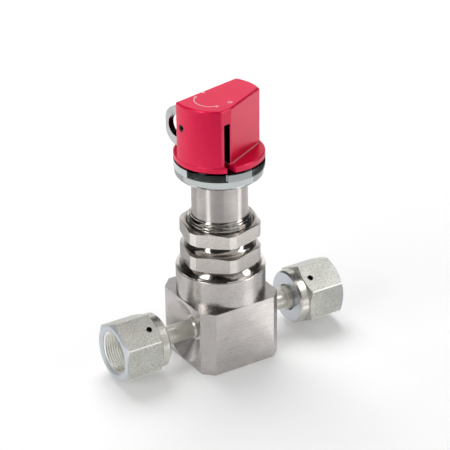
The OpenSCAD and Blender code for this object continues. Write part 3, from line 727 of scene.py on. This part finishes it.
def drill(piece, place, radius, depth):
    """Cuts a round hole through a piece, along the X axis of place."""
    cutter = bmesh.new()
    bmesh.ops.create_cone(cutter, cap_ends=True, segments=24, radius1=radius, radius2=radius, depth=depth)
    bmesh.ops.rotate(cutter, verts=cutter.verts, matrix=Matrix.Rotation(math.pi / 2, 3, "Y"))
    cutter.transform(Matrix.Scale(MM, 4) @ place)
    mesh = bpy.data.meshes.new("drill")
    cutter.to_mesh(mesh)
    cutter.free()
    tool = bpy.data.objects.new("drill", mesh)
    SCENE.collection.objects.link(tool)
    cut = piece.modifiers.new("drill", "BOOLEAN")
    cut.object = tool
    cut.solver = "EXACT"
    whole = bpy.data.meshes.new_from_object(piece.evaluated_get(bpy.context.evaluated_depsgraph_get()))
    piece.modifiers.clear()
    piece.data = whole
    bpy.data.objects.remove(tool)


def build_port_nut(name, side, mouth):
    """A nut on the side -1 or 1 of the block, with its mouth so far from the axis."""
    hex_turns, radius = hexagon(NUT_FLATS, NUT_FILLET, 30 + side * NUT_TURN)
    flat = NUT_FLATS / 2
    shallow, deep = (-depth for depth in PORT_THREAD_DEPTHS)
    mouth_in, mouth_slope = MOUTH_CHAMFER
    back_in, back_slope = BACK_CHAMFER

    def outline(angle):
        r = radius(angle)
        mouth_fall = max(0.0, (r - flat + mouth_in) * mouth_slope)
        back_fall = max(0.0, (r - flat + back_in) * back_slope)
        thread = thread_rows(angle, deep, shallow, PORT_HOLE_R, -PORT_THREAD_DEPTH, PORT_THREAD_PITCH,
                             PORT_HOLE_R + PORT_THREAD_DEPTH, PORT_THREAD_RUNOUT)
        return [(GLAND_BORE_R, -NUT_HEX_END), (GLAND_BORE_R, -GLAND_BORE_DEPTH),
                (HEAD_ROOM_R, -GLAND_BORE_DEPTH), (HEAD_ROOM_R, deep), *reversed(thread),
                (PORT_MOUTH_R, 0.0), (flat - mouth_in, 0.0), (r, -mouth_fall),
                (r, -NUT_HEX_END + back_fall), (flat - back_in, -NUT_HEX_END)]

    def collar(angle):
        return [(GLAND_BORE_R, -NUT_LENGTH), (GLAND_BORE_R, -NUT_HEX_END), (COLLAR_R, -NUT_HEX_END),
                (COLLAR_R, -NUT_LENGTH + COLLAR_CHAMFER), (COLLAR_R - COLLAR_CHAMFER, -NUT_LENGTH)]

    place = Matrix.Translation((side * mouth, 0, PORT_HEIGHT)) @ Matrix.Rotation(side * math.pi / 2, 4, "Y")
    points, faces = wrap(even_turns(128), collar)
    make_piece(name + "_collar", points, faces, name, TURNED_NUT_STEEL, [name], place=place)
    points, faces = wrap(merge_turns(hex_turns, even_turns(96)), outline)
    piece_name = name + "_threaded"
    nut = make_piece(piece_name, points, faces, name, PORT_NUT_STEEL, [name], place=place)
    leak_turn = Matrix.Rotation(math.radians(180 + LEAK_LEAN if side > 0 else -LEAK_LEAN), 4, "Z")
    drill(nut, place @ leak_turn @ Matrix.Translation((LEAK_MIDDLE_R, 0, -LEAK_BACK)), LEAK_R, LEAK_LENGTH)


build_port_nut("inlet_nut", -1, INLET_MOUTH)
build_port_nut("outlet_nut", 1, OUTLET_MOUTH)


# Camera: it stands where the photograph was taken from

CAMERA_TURN, CAMERA_RISE, CAMERA_ROLL = -31.97, 27.02, -0.64
CAMERA_DISTANCE_M = 0.69372
CAMERA_ASIDE_M, CAMERA_DOWN_M = -0.000983, -0.04588
FOCAL_PX = 2039.22
CENTRE_PX = (224.43, 211.84)
WIDTH_PX = 450


def set_camera():
    turn, rise, roll = (math.radians(a) for a in (CAMERA_TURN, CAMERA_RISE, CAMERA_ROLL))
    back = Vector((math.sin(turn) * math.cos(rise), -math.cos(turn) * math.cos(rise), math.sin(rise)))
    level = Vector((math.cos(turn), math.sin(turn), 0))
    upright = back.cross(level)
    right = level * math.cos(roll) + upright * math.sin(roll)
    up = upright * math.cos(roll) - level * math.sin(roll)
    data = bpy.data.cameras.new("camera")
    data.sensor_fit = "HORIZONTAL"
    data.sensor_width = 36
    data.lens = FOCAL_PX * data.sensor_width / WIDTH_PX
    data.shift_x = (WIDTH_PX / 2 - CENTRE_PX[0]) / WIDTH_PX
    data.shift_y = (CENTRE_PX[1] - WIDTH_PX / 2) / WIDTH_PX
    data.clip_start = 0.01
    camera = bpy.data.objects.new("camera", data)
    SCENE.collection.objects.link(camera)
    frame_axes = Matrix((right, up, back)).transposed().to_4x4()
    place = back * CAMERA_DISTANCE_M - right * CAMERA_ASIDE_M - up * CAMERA_DOWN_M
    camera.matrix_world = Matrix.Translation(place) @ frame_axes
    SCENE.camera = camera


set_camera()


# Studio: places and sizes in metres, azimuths in degrees about the upright axis

FLOOR_GLOW = 0.22
FLOOR_GLOW_IN_METAL = 0.20
ROOM_LIGHT = 0.30
ROOM_BACK = 0.70
ROOM_FRONT = 0.05
ROOM_OVERHEAD = 0.06
FRONT_AZIMUTH = -122
# Where the room changes: from back to front by how much a way faces the front, and overhead by its height
FRONT_FADE = (-0.9, -0.7)
OVERHEAD_FADE = (0.52, 0.72)
FLOOR_HALF = 4
CARD_LIFT = 0.0004


def softbox(name, place, aim, size, power):
    """A rectangular light that lights the object but isn't mirrored in it."""
    data = bpy.data.lights.new(name, "AREA")
    data.shape = "RECTANGLE"
    data.size, data.size_y = size
    data.energy = power
    lamp = bpy.data.objects.new(name, data)
    lamp.location = place
    lamp.rotation_euler = (Vector(aim) - Vector(place)).to_track_quat("-Z", "Y").to_euler()
    lamp.visible_glossy = False
    SCENE.collection.objects.link(lamp)


def round_about(azimuth, distance, height):
    """A place at an azimuth and distance from the upright axis."""
    turn = math.radians(azimuth)
    return Vector((math.cos(turn) * distance, math.sin(turn) * distance, height))


def stage_sheet(name, corners, material, faces=None, metal_only=False):
    """A floor or card. metal_only hides it from everything but reflections in metal."""
    mesh = bpy.data.meshes.new(name)
    mesh.from_pydata(corners, [], faces or [tuple(range(len(corners)))])
    mesh.materials.append(material)
    sheet = bpy.data.objects.new(name, mesh)
    if metal_only:
        sheet.visible_camera = sheet.visible_shadow = sheet.visible_diffuse = False
        sheet.visible_transmission = sheet.visible_volume_scatter = False
    SCENE.collection.objects.link(sheet)


def floor_material():
    material = bpy.data.materials.new("white paper floor")
    material.use_nodes = True
    tree = material.node_tree
    shader = tree.nodes["Principled BSDF"]
    shader.inputs["Base Color"].default_value = (0.80, 0.80, 0.80, 1)
    shader.inputs["Roughness"].default_value = 0.7
    shader.inputs["Specular IOR Level"].default_value = 0.1
    light = tree.nodes.new("ShaderNodeLightPath")
    seen = maths(tree, "ADD", maths(tree, "MULTIPLY", light.outputs["Is Camera Ray"], FLOOR_GLOW),
                 maths(tree, "MULTIPLY", light.outputs["Is Glossy Ray"], FLOOR_GLOW_IN_METAL))
    tree.links.new(seen, shader.inputs["Emission Strength"])
    shader.inputs["Emission Color"].default_value = (1, 1, 1, 1)
    return material


def card_material(name, strength):
    """A flat card: black, or glowing evenly where strength is above zero."""
    material = bpy.data.materials.new(name)
    material.use_nodes = True
    shader = material.node_tree.nodes["Principled BSDF"]
    shader.inputs["Base Color"].default_value = (0.004, 0.004, 0.004, 1)
    shader.inputs["Roughness"].default_value = 0.9
    shader.inputs["Emission Color"].default_value = (1, 1, 1, 1)
    shader.inputs["Emission Strength"].default_value = strength
    return material


def set_world():
    """A plain room. Metal sees it darker overhead and in front, and the camera sees white in its place."""
    world = bpy.data.worlds.new("studio")
    world.use_nodes = True
    SCENE.world = world
    tree = world.node_tree
    tree.nodes.clear()
    light = tree.nodes.new("ShaderNodeLightPath")
    where = tree.nodes.new("ShaderNodeTexCoord").outputs["Generated"]
    height = split(tree, where)[2]
    facing = tree.nodes.new("ShaderNodeVectorMath")
    facing.operation = "DOT_PRODUCT"
    tree.links.new(where, facing.inputs[0])
    facing.inputs[1].default_value = round_about(FRONT_AZIMUTH, 1, 0)
    level = span(tree, facing.outputs["Value"], *FRONT_FADE, ROOM_BACK, ROOM_FRONT)
    in_metal = maths(tree, "MULTIPLY", level, span(tree, height, *OVERHEAD_FADE, 1, ROOM_OVERHEAD))
    strength = tree.nodes.new("ShaderNodeMix")
    strength.inputs["A"].default_value = ROOM_LIGHT
    tree.links.new(light.outputs["Is Glossy Ray"], strength.inputs["Factor"])
    tree.links.new(in_metal, strength.inputs["B"])
    white = tree.nodes.new("ShaderNodeMix")
    tree.links.new(light.outputs["Is Camera Ray"], white.inputs["Factor"])
    tree.links.new(strength.outputs["Result"], white.inputs["A"])
    white.inputs["B"].default_value = 1
    room = tree.nodes.new("ShaderNodeBackground")
    tree.links.new(white.outputs["Result"], room.inputs["Strength"])
    out = tree.nodes.new("ShaderNodeOutputWorld")
    tree.links.new(room.outputs[0], out.inputs["Surface"])


def floor_card(name, near, far, start, end, material, steps=24):
    """Part of a ring on the floor, near and far in mm from the axis, from start to end degrees."""
    turns = [start + (end - start) * i / steps for i in range(steps + 1)]
    corners = [round_about(t, near * MM, CARD_LIFT) for t in turns]
    corners += [round_about(t, far * MM, CARD_LIFT) for t in reversed(turns)]
    stage_sheet(name, corners, material, metal_only=True)


def floor_patch(name, corners, material):
    """A small card on the floor. corners are (x, y)."""
    stage_sheet(name, [(x, y, CARD_LIFT) for x, y in corners], material, metal_only=True)


def arched_card(name, way, width, distance, material, steps=12):
    """A long card on an arch round the object, through the directions in way. width is in degrees."""
    way = [Vector(d).normalized() for d in way]
    along = [way[0]]
    for here, there in zip(way, way[1:]):
        along += [here.slerp(there, i / steps) for i in range(1, steps + 1)]
    points = []
    for i, d in enumerate(along):
        ahead = along[min(i + 1, len(along) - 1)] - along[max(i - 1, 0)]
        side = d.cross(ahead).normalized() * math.tan(math.radians(width / 2))
        points += [(d - side) * distance, (d + side) * distance]
    faces = [(2 * i, 2 * i + 1, 2 * i + 3, 2 * i + 2) for i in range(len(along) - 1)]
    stage_sheet(name, points, material, faces=faces, metal_only=True)


BLACK_CARD = card_material("black card", 0)
GREY_CARD = card_material("grey card", 0.58)
SOFT_CARD = card_material("soft card", 0.68)
BRIGHT_CARD = card_material("bright card", 0.92)
WALL_CARD = card_material("wall card", 1.25)
WHITE_CARD = card_material("white card", 1.5)
FADE_CARD = card_material("fading card", 2.0)
STREAK_CARD = card_material("streak card", 2.7)
GLOWING_CARD = card_material("glowing card", 4.6)

set_world()
stage_sheet("floor", [(x * FLOOR_HALF, y * FLOOR_HALF, 0) for x, y in ((-1, -1), (1, -1), (1, 1), (-1, 1))],
            floor_material())

for name, near, far, start, end, card in (
    ("left_far_card", 148, 176, 153, 253, BLACK_CARD),
    ("left_further_card", 176, 420, 176, 253, BLACK_CARD),
    ("back_near_card", 56, 147, 75, 134, GREY_CARD),
    ("left_boss_card", 57, 66, 105, 145, SOFT_CARD),
    ("left_near_card", 66, 108, 135, 192, BRIGHT_CARD),
    ("left_middle_card", 108, 147, 135, 175, WHITE_CARD),
    ("front_boss_card", 58, 76, 196, 262, SOFT_CARD),
    ("front_near_card", 76, 108, 192, 300, BRIGHT_CARD),
    ("front_middle_card", 108, 147, 192, 318, WHITE_CARD),
    ("front_far_card", 148, 168, 255, 323, GREY_CARD),
    ("right_far_card", 148, 161, -37, 58, BLACK_CARD),
    ("right_bright_card", 163, 300, -36, 40, WHITE_CARD),
    ("left_streak", 105, 147, 175, 195, STREAK_CARD),
    ("left_streak_fade", 110, 147, 195, 216, FADE_CARD),
    ("right_streak", 116, 147, -43, -25, STREAK_CARD),
    ("right_near_card", 72, 147, -26, 20, SOFT_CARD),
):
    floor_card(name, near, far, start, end, card)

for name, corners, card in (
    ("left_nut_card", [(-0.046, -0.042), (-0.014, -0.042), (-0.014, -0.014), (-0.046, -0.014)], SOFT_CARD),
    ("right_nut_card", [(0.041, -0.040), (0.075, -0.040), (0.075, -0.014), (0.041, -0.014)], GREY_CARD),
    ("front_right_card", [(0.017, -0.020), (0.039, -0.020), (0.044, -0.056), (0.021, -0.056)], WHITE_CARD),
):
    floor_patch(name, corners, card)

for name, way, width, distance, card in (
    ("left_arch", [(-0.955, -0.26, 0.05), (-0.872, -0.155, 0.46), (-0.575, -0.05, 0.81), (-0.27, 0.24, 0.93)],
     12, 0.8, GLOWING_CARD),
    ("right_arch", [(0.76, -0.65, 0.03), (0.56, -0.47, 0.69), (0.62, -0.1, 0.78)], 12, 0.8, GLOWING_CARD),
    ("right_front_wall", [(0.31, -0.95, 0.02), (0.15, -0.25, 0.96)], 28, 0.9, GREY_CARD),
    ("overhead_right", [(0.12, -0.45, 0.88), (0.47, -0.04, 0.88)], 16, 0.95, GREY_CARD),
    ("right_back_card", [(0.72, 0.62, 0.22), (0.69, 0.59, 0.55)], 12, 0.95, WHITE_CARD),
    ("left_back_card", [(0.25, 0.95, 0.22), (0.24, 0.87, 0.50)], 12, 0.95, WALL_CARD),
    ("back_card", [(0.585, 0.650, 0.485), (0.299, 0.822, 0.485)], 11, 0.95, BRIGHT_CARD),
    ("left_low_card", [(-0.26, 0.96, 0.09), (-0.67, 0.74, 0.09)], 8, 0.95, GREY_CARD),
    ("left_side_card", [(-0.695, 0.671, 0.24), (-0.887, 0.358, 0.27)], 8, 0.95, GREY_CARD),
):
    arched_card(name, way, width, distance, card)

softbox("key", (0.14, 0.47, 0.82), (0, 0, 0.03), (0.7, 0.7), 6.9)
softbox("right_fill", (0.48, -0.70, 0.45), (0, 0, 0.04), (0.7, 0.5), 1.0)
softbox("left_fill", (-0.90, -0.15, 0.45), (0, 0, 0.04), (0.7, 0.5), 3.6)

SCENE.view_settings.view_transform = "Standard"
